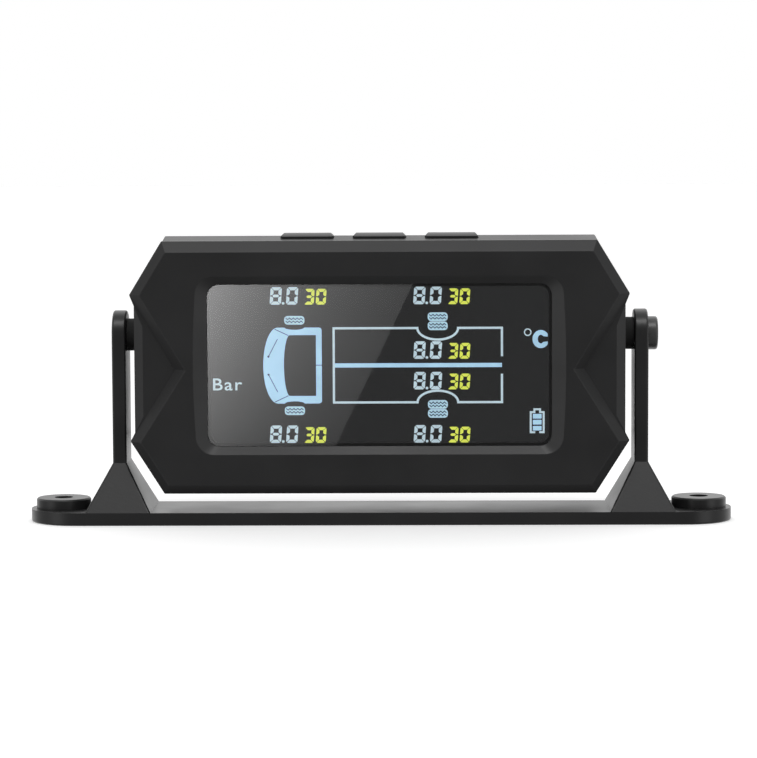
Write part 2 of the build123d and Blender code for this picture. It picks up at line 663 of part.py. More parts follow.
BATTERY_X = -6.0
BATTERY_Z = 38.0
BATTERY_WIDTH = 50.0
BATTERY_HEIGHT = 34.0
BATTERY_THICKNESS = 8.0
BATTERY_EDGE_RADIUS = 2.0
PAD_MARGIN = 5.0
PAD_THICKNESS = 0.8
BATTERY_REAR_Y = CAVITY_REAR_Y - PAD_THICKNESS
with BuildPart() as battery_cell:
    with BuildSketch(facing_front(BATTERY_REAR_Y)):
        with Locations((BATTERY_X, BATTERY_Z)):
            Rectangle(BATTERY_WIDTH, BATTERY_HEIGHT)
    extrude(amount=BATTERY_THICKNESS)
    fillet(edges().filter_by(Axis.X), radius=BATTERY_EDGE_RADIUS)
finish(battery_cell, "battery_cell")

with BuildPart() as battery_pad:
    with BuildSketch(facing_front(CAVITY_REAR_Y)):
        with Locations((BATTERY_X, BATTERY_Z)):
            Rectangle(BATTERY_WIDTH - 2 * PAD_MARGIN, BATTERY_HEIGHT - 2 * PAD_MARGIN)
    extrude(amount=PAD_THICKNESS)
finish(battery_pad, "battery_pad")

LEAD_RADIUS = 0.6
LEAD_SPACING = 2.5
LEAD_START_X = BATTERY_X + BATTERY_WIDTH / 2
LEAD_REACH = 14.0
LEAD_BEND_RADIUS = 4.0
LEAD_END_X = LEAD_START_X + LEAD_REACH
LEAD_Y = BATTERY_REAR_Y - BATTERY_THICKNESS / 2
BATTERY_SOCKET_WIDTH = 4.5
BATTERY_SOCKET_LENGTH = 7.5
BATTERY_SOCKET_HEIGHT = 5.0
battery_socket = board_block(
    LEAD_END_X, BATTERY_Z, BATTERY_SOCKET_WIDTH, BATTERY_SOCKET_LENGTH, BATTERY_SOCKET_HEIGHT
)
finish(battery_socket, "battery_socket")

with BuildPart() as battery_leads:
    for lead_z in (BATTERY_Z - LEAD_SPACING / 2, BATTERY_Z + LEAD_SPACING / 2):
        with BuildLine() as lead_path:
            FilletPolyline(
                (LEAD_START_X, LEAD_Y, lead_z),
                (LEAD_END_X, LEAD_Y, lead_z),
                (LEAD_END_X, BOARD_REAR_Y + BATTERY_SOCKET_HEIGHT, lead_z),
                radius=LEAD_BEND_RADIUS,
            )
        with BuildSketch(Plane(origin=lead_path.line @ 0, z_dir=lead_path.line % 0)):
            Circle(LEAD_RADIUS)
        sweep(path=lead_path.line)
finish(battery_leads, "battery_leads")

SOCKET_LENGTH = 7.3
SOCKET_SHELL = 0.3
SOCKET_END_WALL = 1.0
TONGUE_WIDTH = 6.6
TONGUE_THICKNESS = 0.7
with BuildPart() as charging_socket:
    with BuildSketch(Plane.XY.offset(SOCKET_MOUTH_Z)):
        with Locations((0, SOCKET_Y)):
            SlotOverall(SOCKET_WIDTH, SOCKET_HEIGHT)
    extrude(amount=SOCKET_LENGTH)
    with BuildSketch(Plane.XY.offset(SOCKET_MOUTH_Z)):
        with Locations((0, SOCKET_Y)):
            SlotOverall(SOCKET_WIDTH - 2 * SOCKET_SHELL, SOCKET_HEIGHT - 2 * SOCKET_SHELL)
            Rectangle(TONGUE_WIDTH, TONGUE_THICKNESS, mode=Mode.SUBTRACT)
    extrude(amount=SOCKET_LENGTH - SOCKET_END_WALL, mode=Mode.SUBTRACT)
finish(charging_socket, "charging_socket")

# ---- Buttons -----------------------------------------------------------------

FLANGE_TOP_Z = CAVITY_TOP_Z - SIDE_GAP
FLANGE_THICKNESS = 1.0
FLANGE_MARGIN = 1.0
FLANGE_BOTTOM_Z = FLANGE_TOP_Z - FLANGE_THICKNESS
PLUNGER_RADIUS = 1.75
PLUNGER_LENGTH = 2.4
PLUNGER_SHOWN_LENGTH = 1.6
SWITCH_TOP_Z = FLANGE_BOTTOM_Z - PLUNGER_SHOWN_LENGTH
SWITCH_HEIGHT = 3.6
SWITCH_SIZE = 6.0
BUTTON_FRONT_Y = BUTTON_Y - BUTTON_DEPTH / 2
BUTTON_REAR_Y = BUTTON_Y + BUTTON_DEPTH / 2
SURFACE_Z = HOUSING_TOP_Z + CREST_RISE * (BUTTON_Y - STEP_Y) / (CREST_Y - STEP_Y)

with BuildPart() as tact_switches:
    with BuildSketch(Plane.XY.offset(SWITCH_TOP_Z)):
        with GridLocations(BUTTON_PITCH, 0, 3, 1):
            Rectangle(SWITCH_SIZE, SWITCH_SIZE)
    extrude(amount=-SWITCH_HEIGHT)
    with BuildSketch(Plane.XY.offset(SWITCH_TOP_Z)):
        with GridLocations(BUTTON_PITCH, 0, 3, 1):
            Circle(PLUNGER_RADIUS + SIDE_GAP)
    bore_depth = PLUNGER_LENGTH - PLUNGER_SHOWN_LENGTH + BUTTON_TRAVEL + BUTTON_GAP
    extrude(amount=-bore_depth, mode=Mode.SUBTRACT)
finish(tact_switches, "tact_switches")

for button_name, button_x in BUTTON_XS.items():
    with BuildPart() as plunger:
        with BuildSketch(Plane.XY.offset(FLANGE_BOTTOM_Z)):
            with Locations((button_x, 0)):
                Circle(PLUNGER_RADIUS)
        extrude(amount=-PLUNGER_LENGTH)
    finish(plunger, f"switch_plunger_{button_name}")

    with BuildPart() as cap:
        # Crowned front-to-back section, then sloped ends.
        crown_z = SURFACE_Z + BUTTON_CROWN_HEIGHT
        with BuildSketch(facing_right(button_x - BUTTON_WIDTH / 2)):
            with BuildLine():
                front_edge = (BUTTON_FRONT_Y, SURFACE_Z + BUTTON_FRONT_HEIGHT)
                rear_edge = (BUTTON_REAR_Y, SURFACE_Z + BUTTON_REAR_HEIGHT)
                Polyline(
                    front_edge,
                    (BUTTON_FRONT_Y, FLANGE_TOP_Z),
                    (BUTTON_REAR_Y, FLANGE_TOP_Z),
                    rear_edge,
                )
                ThreePointArc(rear_edge, (BUTTON_Y, crown_z), front_edge)
            make_face()
        extrude(amount=BUTTON_WIDTH)
        left_x = button_x - BUTTON_WIDTH / 2
        right_x = button_x + BUTTON_WIDTH / 2
        with BuildSketch(facing_front(BUTTON_REAR_Y)):
            with BuildLine():
                Polyline(
                    (left_x, FLANGE_TOP_Z),
                    (left_x, crown_z - BUTTON_END_SLOPE),
                    (left_x + BUTTON_END_SLOPE, crown_z),
                    (right_x - BUTTON_END_SLOPE, crown_z),
                    (right_x, crown_z - BUTTON_END_SLOPE),
                    (right_x, FLANGE_TOP_Z),
                    close=True,
                )
            make_face()
        extrude(amount=BUTTON_DEPTH, mode=Mode.INTERSECT)
        with BuildSketch(Plane.XY.offset(FLANGE_TOP_Z)):
            with Locations((button_x, BUTTON_Y)):
                RectangleRounded(BUTTON_WIDTH, BUTTON_DEPTH, BUTTON_CORNER_RADIUS)
        extrude(amount=crown_z - FLANGE_TOP_Z, mode=Mode.INTERSECT)
        with BuildSketch(Plane.XY.offset(FLANGE_BOTTOM_Z)):
            with Locations((button_x, BUTTON_Y)):
                Rectangle(BUTTON_WIDTH + 2 * FLANGE_MARGIN, BUTTON_DEPTH + 2 * FLANGE_MARGIN)
        extrude(amount=FLANGE_THICKNESS)
    finish(cap, f"button_{button_name}")

# ---- Screws of the housing and the board -------------------------------------

HOUSING_CROSS = {"reach": 1.5, "width": 0.6, "depth": 1.2}
BOARD_CROSS = {"reach": 1.1, "width": 0.45, "depth": 0.7}

with BuildPart() as housing_screws:
    head_rear_y = HEAD_SEAT_Y + HOUSING_HEAD_HEIGHT
    posts(head_rear_y, HEAD_SEAT_Y, HOUSING_SCREW_POINTS, HOUSING_HEAD_RADIUS)
    posts(HEAD_SEAT_Y, HOUSING_SCREW_TIP_Y, HOUSING_SCREW_POINTS, HOUSING_SCREW_RADIUS)
    driver_crosses(head_rear_y, HOUSING_SCREW_POINTS, **HOUSING_CROSS)
finish(housing_screws, "housing_screws")

BOARD_HEAD_RADIUS = 1.9
BOARD_HEAD_HEIGHT = 1.2
with BuildPart() as board_screws:
    head_rear_y = BOARD_REAR_Y + BOARD_HEAD_HEIGHT
    posts(head_rear_y, BOARD_REAR_Y, BOARD_SCREW_POINTS, BOARD_HEAD_RADIUS)
    posts(BOARD_REAR_Y, BOARD_SCREW_TIP_Y, BOARD_SCREW_POINTS, BOARD_SCREW_RADIUS)
    driver_crosses(head_rear_y, BOARD_SCREW_POINTS, **BOARD_CROSS)
finish(board_screws, "board_screws")
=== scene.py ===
"""The looks of a tire pressure monitor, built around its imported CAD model.

Metres, in the CAD's frame: +Z up, front towards -Y, the origin in the middle of the bracket's
underside. Screen graphics are laid out in millimetres from the middle of the screen.
"""

import json
import math

import bmesh
import bpy
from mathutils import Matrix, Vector
from mathutils.geometry import tessellate_polygon


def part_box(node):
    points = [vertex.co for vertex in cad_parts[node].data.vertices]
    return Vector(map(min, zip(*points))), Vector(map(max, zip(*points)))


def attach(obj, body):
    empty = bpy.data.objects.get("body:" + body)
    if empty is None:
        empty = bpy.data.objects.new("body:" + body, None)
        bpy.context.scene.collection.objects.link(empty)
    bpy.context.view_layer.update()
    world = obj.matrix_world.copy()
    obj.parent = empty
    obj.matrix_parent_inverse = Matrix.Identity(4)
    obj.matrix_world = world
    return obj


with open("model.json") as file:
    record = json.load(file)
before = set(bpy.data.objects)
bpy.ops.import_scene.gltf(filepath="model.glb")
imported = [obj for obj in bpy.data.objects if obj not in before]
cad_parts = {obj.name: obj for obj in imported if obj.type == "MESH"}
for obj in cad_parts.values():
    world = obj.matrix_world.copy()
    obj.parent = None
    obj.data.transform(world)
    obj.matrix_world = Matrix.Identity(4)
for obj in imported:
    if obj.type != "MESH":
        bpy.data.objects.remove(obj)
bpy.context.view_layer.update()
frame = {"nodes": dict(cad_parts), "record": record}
MM = 0.001

# ---- Camera ------------------------------------------------------------------

CAMERA_PLACE = Vector((0.0125, -0.7939, 0.1030))
CAMERA_TILT_DOWN = 0.0798
CAMERA_ROLL = 0.0044
CAMERA_PAN = 0.0160
SENSOR_WIDTH = 36.0
FOCAL_LENGTH = 135.5


def make_camera():
    data = bpy.data.cameras.new("camera")
    data.sensor_fit = "HORIZONTAL"
    data.sensor_width = SENSOR_WIDTH
    data.lens = FOCAL_LENGTH
    data.clip_end = 50.0
    camera = bpy.data.objects.new("camera", data)
    camera.location = CAMERA_PLACE
    camera.rotation_euler = (math.pi / 2 - CAMERA_TILT_DOWN, CAMERA_ROLL, CAMERA_PAN)
    bpy.context.scene.collection.objects.link(camera)
    bpy.context.scene.camera = camera


make_camera()

# ---- Node helpers ------------------------------------------------------------

# The mix node has several sockets of each name, so those for colours are taken by number.
MIX_FIRST_COLOUR = 6
MIX_SECOND_COLOUR = 7
MIX_COLOUR_OUT = 2


class Shader:
    """A new material with a Principled shader, and short ways to add nodes to it."""

    def __init__(self, name, **values):
        self.material = bpy.data.materials.new(name)
        self.material.use_nodes = True
        self.tree = self.material.node_tree
        self.surface = self.tree.nodes["Principled BSDF"]
        for socket, value in values.items():
            self.surface.inputs[socket.replace("_", " ")].default_value = value
        self.place = self.add("ShaderNodeTexCoord").outputs["Object"]

    def add(self, kind, **settings):
        node = self.tree.nodes.new(kind)
        for name, value in settings.items():
            setattr(node, name, value)
        return node

    def put(self, value, socket):
        """Link an output to a socket, or set the socket to a plain value."""
        if isinstance(value, bpy.types.NodeSocket):
            self.tree.links.new(value, socket)
        else:
            socket.default_value = value

    def noise(self, size, detail=2.0, stretch=(1.0, 1.0, 1.0)):
        """Noise whose features are about size metres across, between 0 and 1."""
        mapping = self.add("ShaderNodeMapping")
        self.put(self.place, mapping.inputs["Vector"])
        mapping.inputs["Scale"].default_value = stretch
        node = self.add("ShaderNodeTexNoise")
        self.put(mapping.outputs["Vector"], node.inputs["Vector"])
        node.inputs["Scale"].default_value = 1.0 / size
        node.inputs["Detail"].default_value = detail
        return node.outputs["Fac"]

    def spread(self, value, low, high, from_low=0.3, from_high=0.7):
        """Map a value from its own range to low..high, clamped."""
        node = self.add("ShaderNodeMapRange")
        self.put(value, node.inputs["Value"])
        for name, number in zip(
            ("From Min", "From Max", "To Min", "To Max"), (from_low, from_high, low, high)
        ):
            node.inputs[name].default_value = number
        return node.outputs["Result"]

    def math(self, operation, first, second=0.0):
        node = self.add("ShaderNodeMath", operation=operation)
        self.put(first, node.inputs[0])
        self.put(second, node.inputs[1])
        return node.outputs[0]

    def blend(self, factor, first, second):
        """A colour between two colours."""
        node = self.add("ShaderNodeMix", data_type="RGBA")
        self.put(factor, node.inputs["Factor"])
        self.put(first, node.inputs[MIX_FIRST_COLOUR])
        self.put(second, node.inputs[MIX_SECOND_COLOUR])
        return node.outputs[MIX_COLOUR_OUT]

    def edge_mask(self, radius):
        """1 on convex and concave edges, fading to 0 a radius away from them."""
        rounded = self.add("ShaderNodeBevel", samples=6)
        rounded.inputs["Radius"].default_value = radius
        plain = self.add("ShaderNodeNewGeometry")
        alike = self.add("ShaderNodeVectorMath", operation="DOT_PRODUCT")
        self.put(rounded.outputs["Normal"], alike.inputs[0])
        self.put(plain.outputs["Normal"], alike.inputs[1])
        return self.spread(alike.outputs["Value"], 1.0, 0.0, from_low=0.80, from_high=0.99)

    def bump(self, height, depth):
        """Raise the surface by up to depth metres where height is 1."""
        node = self.add("ShaderNodeBump")
        node.inputs["Strength"].default_value = 1.0
        node.inputs["Distance"].default_value = depth
        self.put(height, node.inputs["Height"])
        return node.outputs["Normal"]

    def set(self, **links):
        """Link outputs to the surface shader's own sockets, spaces in their names as underscores."""
        for socket, value in links.items():
            self.put(value, self.surface.inputs[socket.replace("_", " ")])


def grey(level):
    return (level, level, level, 1.0)


def shaded(colour, factor, lift=0.0):
    """A darker or brighter version of a colour."""
    return tuple(min(1.0, channel * factor + lift) for channel in colour[:3]) + (1.0,)


# ---- Materials ---------------------------------------------------------------


def moulded_plastic(name, colour, roughness, grain_size, grain_depth, edge_radius, edge_highlight_and_wear_lift):
    """Spark-eroded moulded plastic: fine grain, faint mottling, and edges polished by handling, whose
    colour is also lightened as a painted highlight.
    """
    shader = Shader(name, IOR=1.5)
    mottle = shader.noise(0.018, detail=4.0)
    grain = shader.noise(grain_size, detail=1.5)
    smears = shader.noise(0.035, detail=5.0, stretch=(1.0, 1.0, 2.2))
    edges = shader.edge_mask(edge_radius)
    body = shader.blend(shader.spread(mottle, 0.0, 1.0), colour, shaded(colour, 1.25, 0.002))
    # Painted highlight, partly wear: the colour along the edges is lifted, speckled by the mottling.
    edge_highlight_and_wear = shader.math("MULTIPLY", edges, shader.spread(mottle, 0.45, 1.0))
    body = shader.blend(edge_highlight_and_wear, body, shaded(colour, 1.0, edge_highlight_and_wear_lift))
    rough = shader.spread(smears, roughness - 0.05, roughness + 0.05)
    rough = shader.math("SUBTRACT", rough, shader.math("MULTIPLY", edges, 0.07))
    shader.set(Base_Color=body, Roughness=rough, Normal=shader.bump(grain, grain_depth))
    return shader.material


def rubber(name, colour, roughness, grain_size, grain_depth):
    """Matt rubber or foam, slightly dusty."""
    shader = Shader(name, IOR=1.45)
    dust = shader.noise(0.004, detail=5.0)
    body = shader.blend(shader.spread(dust, 0.0, 1.0), colour, grey(colour[0] + 0.012))
    shader.set(
        Base_Color=body,
        Roughness=shader.spread(dust, roughness - 0.06, roughness + 0.06),
        Normal=shader.bump(shader.noise(grain_size), grain_depth),
    )
    return shader.material


def metal(name, colour, roughness):
    """Turned or plated metal, with fine tool marks round X, tarnish and brighter edges."""
    shader = Shader(name, Metallic=1.0)
    marks = shader.noise(0.0004, detail=3.0, stretch=(6.0, 1.0, 1.0))
    tarnish = shader.noise(0.006, detail=4.0)
    body = shader.blend(shader.spread(tarnish, 0.0, 1.0), colour, shaded(colour, 0.72))
    body = shader.blend(shader.edge_mask(0.00015), body, shaded(colour, 1.2, 0.02))
    shader.set(
        Base_Color=body,
        Roughness=shader.spread(marks, roughness - 0.06, roughness + 0.08),
        Normal=shader.bump(marks, 0.000004),
    )
    return shader.material


def black_oxide(name):
    """Black-oxided steel: dark and satin, with bare metal glinting at its edges."""
    shader = Shader(name, IOR=1.6)
    marks = shader.noise(0.0005, detail=3.0)
    edges = shader.edge_mask(0.00012)
    body = shader.blend(shader.spread(marks, 0.0, 1.0), grey(0.045), grey(0.060))
    shader.set(
        Base_Color=shader.blend(edges, body, grey(0.08)),
        Metallic=shader.math("MULTIPLY", edges, 0.5),
        Roughness=shader.spread(marks, 0.28, 0.38),
        Normal=shader.bump(marks, 0.000004),
    )
    return shader.material


def lens_material(name):
    """Clear hard-coated plastic with a faint smoky tint and very light wiping haze."""
    shader = Shader(
        name, Base_Color=(0.86, 0.87, 0.88, 1.0), Transmission_Weight=1.0, IOR=1.55
    )
    haze = shader.noise(0.02, detail=3.0, stretch=(1.0, 1.0, 3.0))
    shader.set(Roughness=shader.spread(haze, 0.006, 0.02))
    return shader.material


BACKLIGHT_LEAK = 0.003


def lcd_material(name):
    """The unlit face of a negative liquid crystal display, nearly black, with a faint cool glow."""
    shader = Shader(name, IOR=1.5)
    cells = shader.noise(0.0003, detail=1.0)
    cloud = shader.noise(0.03, detail=3.0)
    body = shader.blend(
        shader.spread(cloud, 0.0, 1.0), (0.0035, 0.0040, 0.0048, 1.0), (0.0055, 0.0060, 0.0070, 1.0)
    )
    shader.set(Base_Color=body, Roughness=shader.spread(cells, 0.30, 0.36))
    shader.surface.inputs["Specular IOR Level"].default_value = 0.15
    shader.surface.inputs["Emission Color"].default_value = (0.92, 0.97, 1.0, 1.0)
    shader.surface.inputs["Emission Strength"].default_value = BACKLIGHT_LEAK
    return shader.material


def lit_segment(name, colour, strength):
    """A lit liquid crystal segment, whose backlight is a little uneven."""
    shader = Shader(name, Roughness=0.5)
    shader.surface.inputs["Specular IOR Level"].default_value = 0.1
    glow = shader.noise(0.006, detail=2.0)
    tint = shader.blend(shader.spread(glow, 0.0, 1.0), shaded(colour, 0.86), colour)
    shader.set(Base_Color=tint, Emission_Color=tint)
    shader.surface.inputs["Emission Strength"].default_value = strength
    return shader.material


def board_material(name):
    """Green solder mask over copper tracks, with a fibreglass weave under it."""
    shader = Shader(name, Coat_Weight=0.4, Coat_Roughness=0.15)
    tracks = shader.add("ShaderNodeTexBrick", offset=0.37, squash=1.6, squash_frequency=3)
    rotate = shader.add("ShaderNodeMapping")
    shader.put(shader.place, rotate.inputs["Vector"])
    rotate.inputs["Rotation"].default_value = (math.pi / 2, 0.0, 0.0)
    shader.put(rotate.outputs["Vector"], tracks.inputs["Vector"])
    for socket, value in (
        ("Scale", 130.0), ("Mortar Size", 0.012), ("Mortar Smooth", 0.1),
        ("Brick Width", 0.9), ("Row Height", 0.22),
    ):
        tracks.inputs[socket].default_value = value
    weave = shader.noise(0.0006)
    body = shader.blend(
        shader.spread(weave, 0.0, 1.0), (0.006, 0.055, 0.018, 1.0), (0.010, 0.080, 0.026, 1.0)
    )
    body = shader.blend(tracks.outputs["Fac"], body, (0.030, 0.170, 0.050, 1.0))
    shader.set(Base_Color=body, Normal=shader.bump(tracks.outputs["Fac"], 0.00003))
    shader.set(Roughness=shader.spread(weave, 0.32, 0.42))
    return shader.material


def foil(name):
    """The crinkled aluminium pouch of a flat battery."""
    shader = Shader(name, Metallic=0.9)
    crinkles = shader.noise(0.005, detail=5.0)
    shader.set(
        Base_Color=shader.blend(shader.spread(crinkles, 0.0, 1.0), grey(0.42), grey(0.62)),
        Roughness=shader.spread(crinkles, 0.28, 0.42),
        Normal=shader.bump(crinkles, 0.00012),
    )
    return shader.material


MATERIALS = {
    "housing_plastic": moulded_plastic(
        "housing_plastic", (0.0145, 0.0145, 0.0150, 1.0), roughness=0.42,
        grain_size=0.00045, grain_depth=0.000010, edge_radius=0.00035, edge_highlight_and_wear_lift=0.006,
    ),
    "bracket_plastic": moulded_plastic(
        "bracket_plastic", (0.0130, 0.0130, 0.0133, 1.0), roughness=0.33,
        grain_size=0.00060, grain_depth=0.000012, edge_radius=0.00045, edge_highlight_and_wear_lift=0.006,
    ),
    "button_plastic": moulded_plastic(
        "button_plastic", (0.0110, 0.0110, 0.0115, 1.0), roughness=0.34,
        grain_size=0.00030, grain_depth=0.000005, edge_radius=0.00030, edge_highlight_and_wear_lift=0.010,
    ),
    "white_plastic": moulded_plastic(
        "white_plastic", (0.72, 0.72, 0.70, 1.0), roughness=0.45,
        grain_size=0.0005, grain_depth=0.000008, edge_radius=0.0003, edge_highlight_and_wear_lift=0.03,
    ),
    "led_yellow": moulded_plastic(
        "led_yellow", (0.75, 0.55, 0.10, 1.0), roughness=0.30,
        grain_size=0.0005, grain_depth=0.000004, edge_radius=0.0002, edge_highlight_and_wear_lift=0.05,
    ),
    "chip_black": moulded_plastic(
        "chip_black", (0.018, 0.018, 0.019, 1.0), roughness=0.55,
        grain_size=0.0002, grain_depth=0.000010, edge_radius=0.0001, edge_highlight_and_wear_lift=0.02,
    ),
    "spacer_rubber": rubber(
        "spacer_rubber", grey(0.016), roughness=0.70, grain_size=0.0005, grain_depth=0.00002
    ),
    "tape": rubber("tape", grey(0.022), roughness=0.80, grain_size=0.0003, grain_depth=0.00001),
    "lead_red": rubber(
        "lead_red", (0.42, 0.015, 0.012, 1.0), roughness=0.42, grain_size=0.0010, grain_depth=0.000005
    ),
    "brass": metal("brass", (0.62, 0.42, 0.16, 1.0), roughness=0.28),
    "steel": metal("steel", (0.50, 0.50, 0.49, 1.0), roughness=0.26),
    "black_steel": black_oxide("black_steel"),
    "battery_foil": foil("battery_foil"),
    "board_green": board_material("board_green"),
    "lcd_glass": lcd_material("lcd_glass"),
    "lens": lens_material("lens"),
}

for part in frame["record"]["subparts"]:
    node = frame["nodes"][part["node"]]
    if not node.material_slots:
        node.data.materials.append(None)
    for material_slot in node.material_slots:
        material_slot.material = MATERIALS[part["material_slot"]]

# ---- Screen graphics ---------------------------------------------------------

lens_low, lens_high = (Vector(corner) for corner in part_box("screen_lens"))
GRAPHICS_DROP = 0.2
SCREEN = (lens_low + lens_high) / 2 - Vector((0.0, 0.0, GRAPHICS_DROP * MM))
PANEL_FACE_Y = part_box("lcd_panel")[0][1]
PLATE_THICKNESS = 0.02 * MM
PLATE_LIFT = 0.01 * MM

PALE_BLUE = lit_segment("segment_pale_blue", (0.60, 0.75, 0.82, 1.0), 0.8)
ICE_BLUE = lit_segment("segment_ice_blue", (0.52, 0.76, 0.90, 1.0), 0.8)
SKY_BLUE = lit_segment("segment_sky_blue", (0.48, 0.76, 0.98, 1.0), 0.8)
YELLOW_GREEN = lit_segment("segment_yellow_green", (0.82, 0.90, 0.11, 1.0), 0.85)
UNLIT = Shader("segment_unlit", Base_Color=(0.010, 0.035, 0.060, 1.0), Roughness=0.4).material
DIM_BLUE = Shader("segment_dim_blue", Base_Color=(0.020, 0.120, 0.220, 1.0), Roughness=0.4).material


def add_plate(mesh, outline, holes, front_y, back_y):
    """Add a flat plate with holes to a bmesh. Its outlines are (x, z) in mm from the screen's middle."""
    loops = [outline, *holes]
    flat = [[Vector((x, z, 0.0)) for x, z in loop] for loop in loops]
    points = [point for loop in flat for point in loop]

    def layer(y):
        return [mesh.verts.new((SCREEN.x + p.x * MM, y, SCREEN.z + p.y * MM)) for p in points]

    front, back = layer(front_y), layer(back_y)
    for triangle in tessellate_polygon(flat):
        mesh.faces.new([front[i] for i in triangle])
        mesh.faces.new([back[i] for i in reversed(triangle)])
    start = 0
    for loop in loops:
        for i in range(len(loop)):
            a, b = start + i, start + (i + 1) % len(loop)
            mesh.faces.new((front[a], front[b], back[b], back[a]))
        start += len(loop)


def graphic(name, shapes, material, raised=0):
    """A screen graphic made of plates. Each shape is (outline, holes); raised stacks it on others."""
    mesh = bmesh.new()
    back_y = PANEL_FACE_Y - PLATE_LIFT - raised * (PLATE_THICKNESS + PLATE_LIFT)
    for outline, holes in shapes:
        add_plate(mesh, outline, holes, back_y - PLATE_THICKNESS, back_y)
    bmesh.ops.recalc_face_normals(mesh, faces=mesh.faces)
    data = bpy.data.meshes.new(name)
    mesh.to_mesh(data)
    mesh.free()
    data.materials.append(material)
    piece = bpy.data.objects.new(name, data)
    bpy.context.scene.collection.objects.link(piece)
    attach(piece, "display")
    return piece


def arc(centre, radii, start, end, steps=12):
    """Points on an ellipse's arc, from start to end in degrees."""
    angles = [math.radians(start + (end - start) * i / steps) for i in range(steps + 1)]
    return [(centre[0] + radii[0] * math.cos(a), centre[1] + radii[1] * math.sin(a)) for a in angles]


def rounded_box(left, bottom, right, top, radius):
    """A rectangle with round corners, counterclockwise from its right side."""
    corners = (
        (right - radius, top - radius, 0), (left + radius, top - radius, 90),
        (left + radius, bottom + radius, 180), (right - radius, bottom + radius, 270),
    )
    return [
        point for x, z, start in corners for point in arc((x, z), (radius, radius), start, start + 90, 5)
    ]


MITRE_LIMIT = 0.3


def ribbon(points, width):
    """The outline of a line of even width through points, with mitred corners and square ends."""
    path = [Vector(point) for point in points]
    left, right = [], []
    for i, here in enumerate(path):
        before = (here - path[i - 1]).normalized() if i else None
        after = (path[i + 1] - here).normalized() if i + 1 < len(path) else None
        before, after = before or after, after or before
        across = Vector((-(before + after).y, (before + after).x)).normalized()
        reach = width / 2 / max(MITRE_LIMIT, across.dot(Vector((-after.y, after.x))))
        left.append(tuple(here + across * reach))
        right.append(tuple(here - across * reach))
    return left + right[::-1]


def flipped(points):
    """The same outline, mirrored top to bottom."""
    return [(x, -z) for x, z in reversed(points)]


# Seven-segment digits. Segments run clockwise from the top, then the middle one.
DIGIT_SEGMENTS = {"0": "abcdef", "3": "abcdg", "8": "abcdefg"}
SEGMENT_GAP = 0.09
MIDDLE_GAP = 0.2
SEGMENT_CORNER = 0.55
MIDDLE_BAR_SHARE = 0.42
DIGIT_SLANT = 0.07


def segments(width, height, stroke):
    """The seven segments of a digit whose lower left corner is the origin."""
    gap, corner, middle = SEGMENT_GAP, SEGMENT_CORNER, height / 2
    bend = corner * (1 - math.sqrt(0.5))
    top = [
        (corner, height), (width - corner, height), (width - bend - gap, height - bend),
        (width - stroke - gap, height - stroke), (stroke + gap, height - stroke),
        (bend + gap, height - bend),
    ]
    upper_left = [
        (0.0, height - corner), (bend, height - bend - gap), (stroke, height - stroke - gap),
        (stroke, middle + stroke / 2 + gap), (stroke / 2, middle + MIDDLE_GAP),
        (0.0, middle + MIDDLE_GAP / 2),
    ]
    half = stroke * MIDDLE_BAR_SHARE
    bar = [
        (stroke / 2 + 2 * gap, middle), (stroke + gap, middle + half),
        (width - stroke - gap, middle + half), (width - stroke / 2 - 2 * gap, middle),
        (width - stroke - gap, middle - half), (stroke + gap, middle - half),
    ]

    def across(points):
        return [(width - x, z) for x, z in points]

    def upended(points):
        return [(x, height - z) for x, z in points]

    return {
        "a": top, "b": across(upper_left), "c": upended(across(upper_left)), "d": upended(top),
        "e": upended(upper_left), "f": upper_left, "g": bar,
    }


def digit(character, left, bottom, width, height, stroke):
    """A slanted seven-segment digit, as plate shapes."""
    outlines = segments(width, height, stroke)
    return [
        ([(left + x + DIGIT_SLANT * z, bottom + z) for x, z in outlines[key]], ())
        for key in DIGIT_SEGMENTS[character]
    ]


# A reading is a pressure such as 8.0 in pale blue, and a smaller temperature in yellow-green.
PRESSURE_DIGIT = (3.15, 4.85, 0.90)
PRESSURE_PITCH = 4.5
POINT_RADIUS = 0.38
POINT_OFFSET = 3.75
TEMPERATURE_DIGIT = (2.75, 4.35, 0.84)
TEMPERATURE_OFFSET = 9.4
TEMPERATURE_PITCH = 3.3
CAB_READING_X = -30.2
CAB_RIGHT_READING_X = -30.42
TRAILER_READING_X = 9.3
TOP_ROW_Z = 16.8
UPPER_ROW_Z = 1.75
LOWER_ROW_Z = -6.7
BOTTOM_ROW_Z = -21.4


def add_reading(place, left, bottom):
    width, height, stroke = PRESSURE_DIGIT
    pressure = digit("8", left, bottom, width, height, stroke)
    pressure += digit("0", left + PRESSURE_PITCH, bottom, width, height, stroke)
    point = arc((left + POINT_OFFSET, bottom + POINT_RADIUS), (POINT_RADIUS, POINT_RADIUS), 0, 345, 23)
    graphic(f"pressure_{place}", pressure + [(point, ())], PALE_BLUE)
    width, height, stroke = TEMPERATURE_DIGIT
    left += TEMPERATURE_OFFSET
    temperature = digit("3", left, bottom, width, height, stroke)
    temperature += digit("0", left + TEMPERATURE_PITCH, bottom, width, height, stroke)
    graphic(f"temperature_{place}", temperature, YELLOW_GREEN)


add_reading("cab_left", CAB_READING_X, TOP_ROW_Z)
add_reading("cab_right", CAB_RIGHT_READING_X, BOTTOM_ROW_Z)
add_reading("trailer_left_outer", TRAILER_READING_X, TOP_ROW_Z)
add_reading("trailer_left_inner", TRAILER_READING_X, UPPER_ROW_Z)
add_reading("trailer_right_inner", TRAILER_READING_X, LOWER_ROW_Z)
add_reading("trailer_right_outer", TRAILER_READING_X, BOTTOM_ROW_Z)

